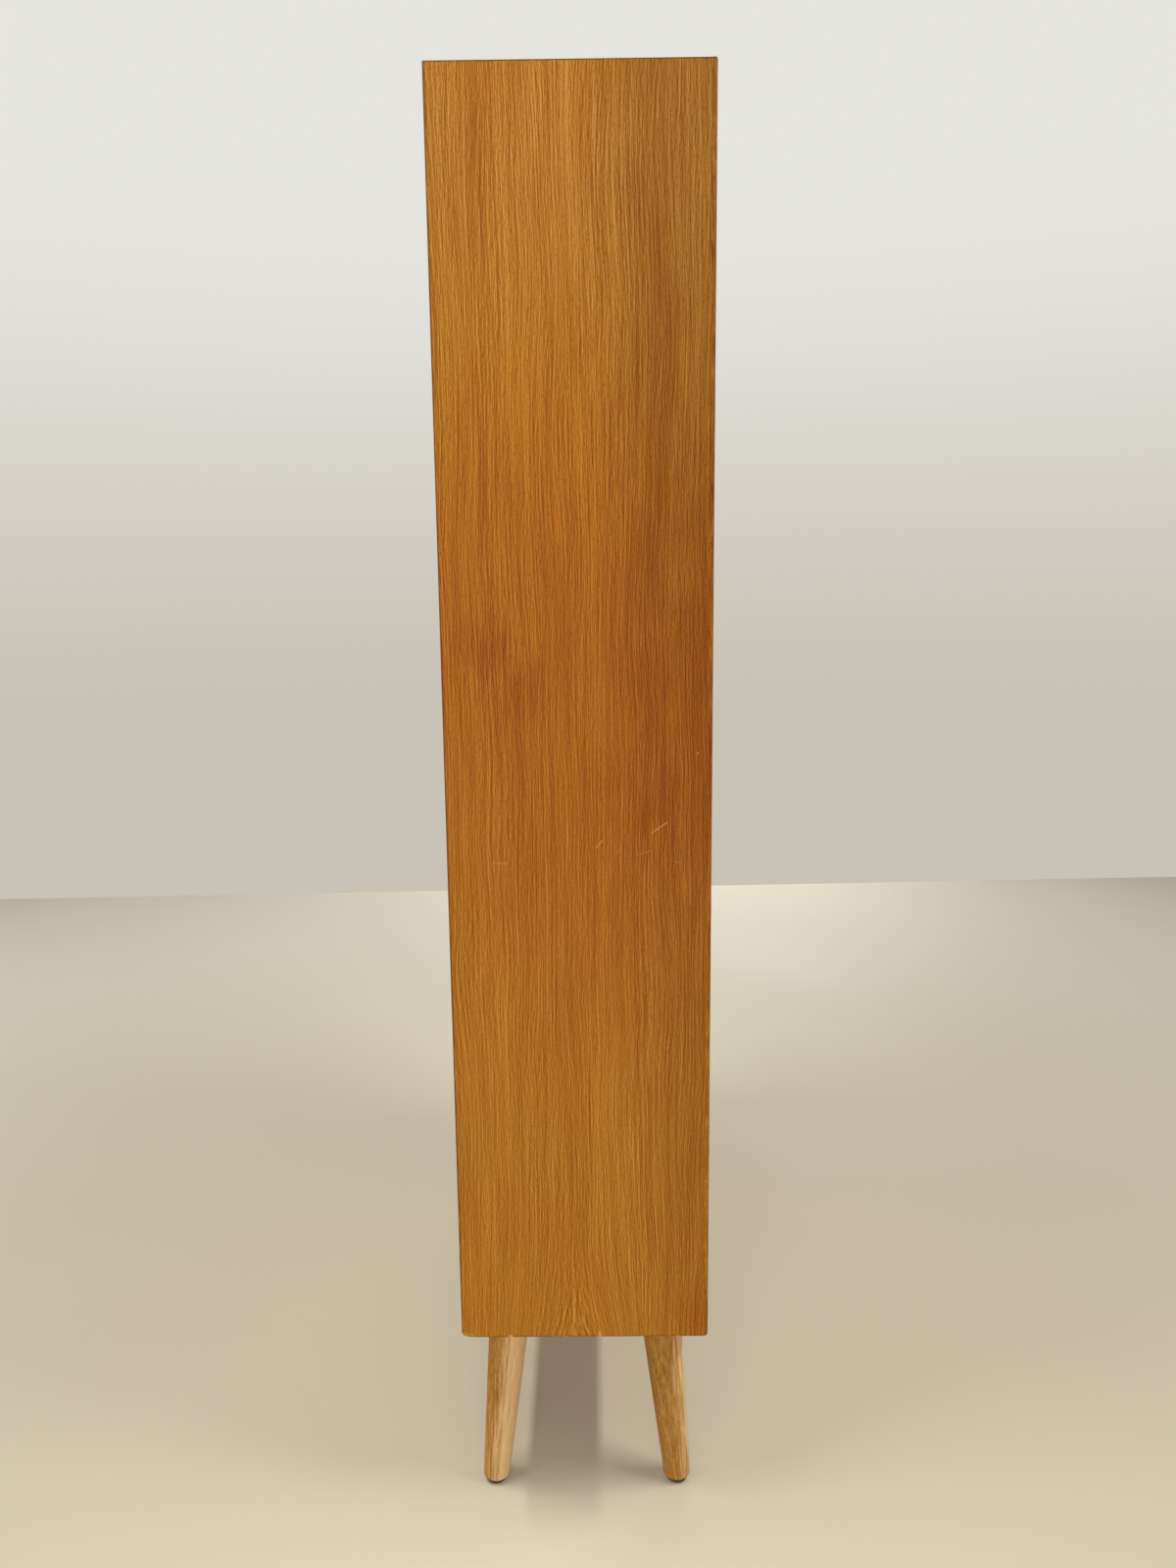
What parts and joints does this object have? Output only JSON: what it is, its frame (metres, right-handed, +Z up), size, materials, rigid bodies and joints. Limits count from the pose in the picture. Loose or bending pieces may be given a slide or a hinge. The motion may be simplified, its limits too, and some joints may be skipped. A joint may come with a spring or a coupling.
{
  "type": "pantry cabinet",
  "caption": "Tall shallow oak veneer pantry cabinet with inset hinged doors, loose shelves and splayed tapered turned legs.",
  "frame": {"origin": "on the floor under the middle of the cabinet", "axes": "+Z up, front towards -Y, width along X"},
  "size_m": [0.9, 0.3, 1.652],
  "materials": {
    "aged_oak_veneer": "aged satin lacquer",
    "oak_lipping": "aged satin lacquer",
    "shelf_oak": "satin lacquer",
    "leg_oak": "matt oil",
    "joint_wood": "bare",
    "back_board": "bare thin board",
    "brass": "dulled",
    "steel": "zinc plated",
    "magnet": "dark sintered",
    "catch_plastic": "matt brown",
    "felt": "dense felt"
  },
  "bodies": {
    "cabinet": {"left_side_panel": "aged_oak_veneer", "right_side_panel": "aged_oak_veneer", "top_panel": "aged_oak_veneer", "bottom_panel": "aged_oak_veneer", "divider_panel": "aged_oak_veneer", "carcass_lipping": "oak_lipping", "mitre_splines": "joint_wood", "divider_dowels": "joint_wood", "back_panel": "back_board", "back_panel_screws": "steel", "shelf_pins": "brass", "hinge_frame_leaves": "brass", "hinge_pins": "brass", "hinge_frame_screws": "brass", "catch_housings": "catch_plastic", "catch_poles": "steel", "catch_magnets": "magnet", "catch_screws": "steel", "front_left_leg": "leg_oak", "front_right_leg": "leg_oak", "rear_left_leg": "leg_oak", "rear_right_leg": "leg_oak", "leg_plates": "steel", "leg_hanger_bolts": "steel", "leg_plate_screws": "steel", "foot_glides": "felt"},
    "upper_left_door": {"upper_left_door_panel": "aged_oak_veneer", "upper_left_door_lipping": "oak_lipping", "upper_left_knob": "leg_oak", "upper_left_knob_screw": "steel", "upper_left_hinge_leaves": "brass", "upper_left_door_screws": "brass", "upper_left_catch_keeper": "steel"},
    "upper_right_door": {"upper_right_door_panel": "aged_oak_veneer", "upper_right_door_lipping": "oak_lipping", "upper_right_knob": "leg_oak", "upper_right_knob_screw": "steel", "upper_right_hinge_leaves": "brass", "upper_right_door_screws": "brass", "upper_right_catch_keeper": "steel"},
    "lower_left_door": {"lower_left_door_panel": "aged_oak_veneer", "lower_left_door_lipping": "oak_lipping", "lower_left_knob": "leg_oak", "lower_left_knob_screw": "steel", "lower_left_hinge_leaves": "brass", "lower_left_door_screws": "brass", "lower_left_catch_keeper": "steel"},
    "lower_right_door": {"lower_right_door_panel": "aged_oak_veneer", "lower_right_door_lipping": "oak_lipping", "lower_right_knob": "leg_oak", "lower_right_knob_screw": "steel", "lower_right_hinge_leaves": "brass", "lower_right_door_screws": "brass", "lower_right_catch_keeper": "steel"},
    "lower_shelf_board": {"lower_shelf": "shelf_oak"},
    "upper_shelf_low_board": {"upper_shelf_low": "shelf_oak"},
    "upper_shelf_middle_board": {"upper_shelf_middle": "shelf_oak"},
    "upper_shelf_high_board": {"upper_shelf_high": "shelf_oak"}
  },
  "joints": [
    {"name": "upper_left_door_swing", "type": "hinge", "parent": "cabinet", "child": "upper_left_door", "pos_m": [-0.427, -0.1312, 1.183], "axis": [0, 0, -1], "range_deg": [0, 95]},
    {"name": "upper_right_door_swing", "type": "hinge", "parent": "cabinet", "child": "upper_right_door", "pos_m": [0.427, -0.1312, 1.183], "axis": [0, 0, 1], "range_deg": [0, 95]},
    {"name": "lower_left_door_swing", "type": "hinge", "parent": "cabinet", "child": "lower_left_door", "pos_m": [-0.427, -0.1312, 0.479], "axis": [0, 0, -1], "range_deg": [0, 95]},
    {"name": "lower_right_door_swing", "type": "hinge", "parent": "cabinet", "child": "lower_right_door", "pos_m": [0.427, -0.1312, 0.479], "axis": [0, 0, 1], "range_deg": [0, 95]},
    {"name": "lower_shelf_lift", "type": "slide", "parent": "cabinet", "child": "lower_shelf_board", "axis": [0, 0, 1], "range_m": [0, 0.015]},
    {"name": "upper_shelf_low_lift", "type": "slide", "parent": "cabinet", "child": "upper_shelf_low_board", "axis": [0, 0, 1], "range_m": [0, 0.015]},
    {"name": "upper_shelf_middle_lift", "type": "slide", "parent": "cabinet", "child": "upper_shelf_middle_board", "axis": [0, 0, 1], "range_m": [0, 0.015]},
    {"name": "upper_shelf_high_lift", "type": "slide", "parent": "cabinet", "child": "upper_shelf_high_board", "axis": [0, 0, 1], "range_m": [0, 0.015]}
  ]
}
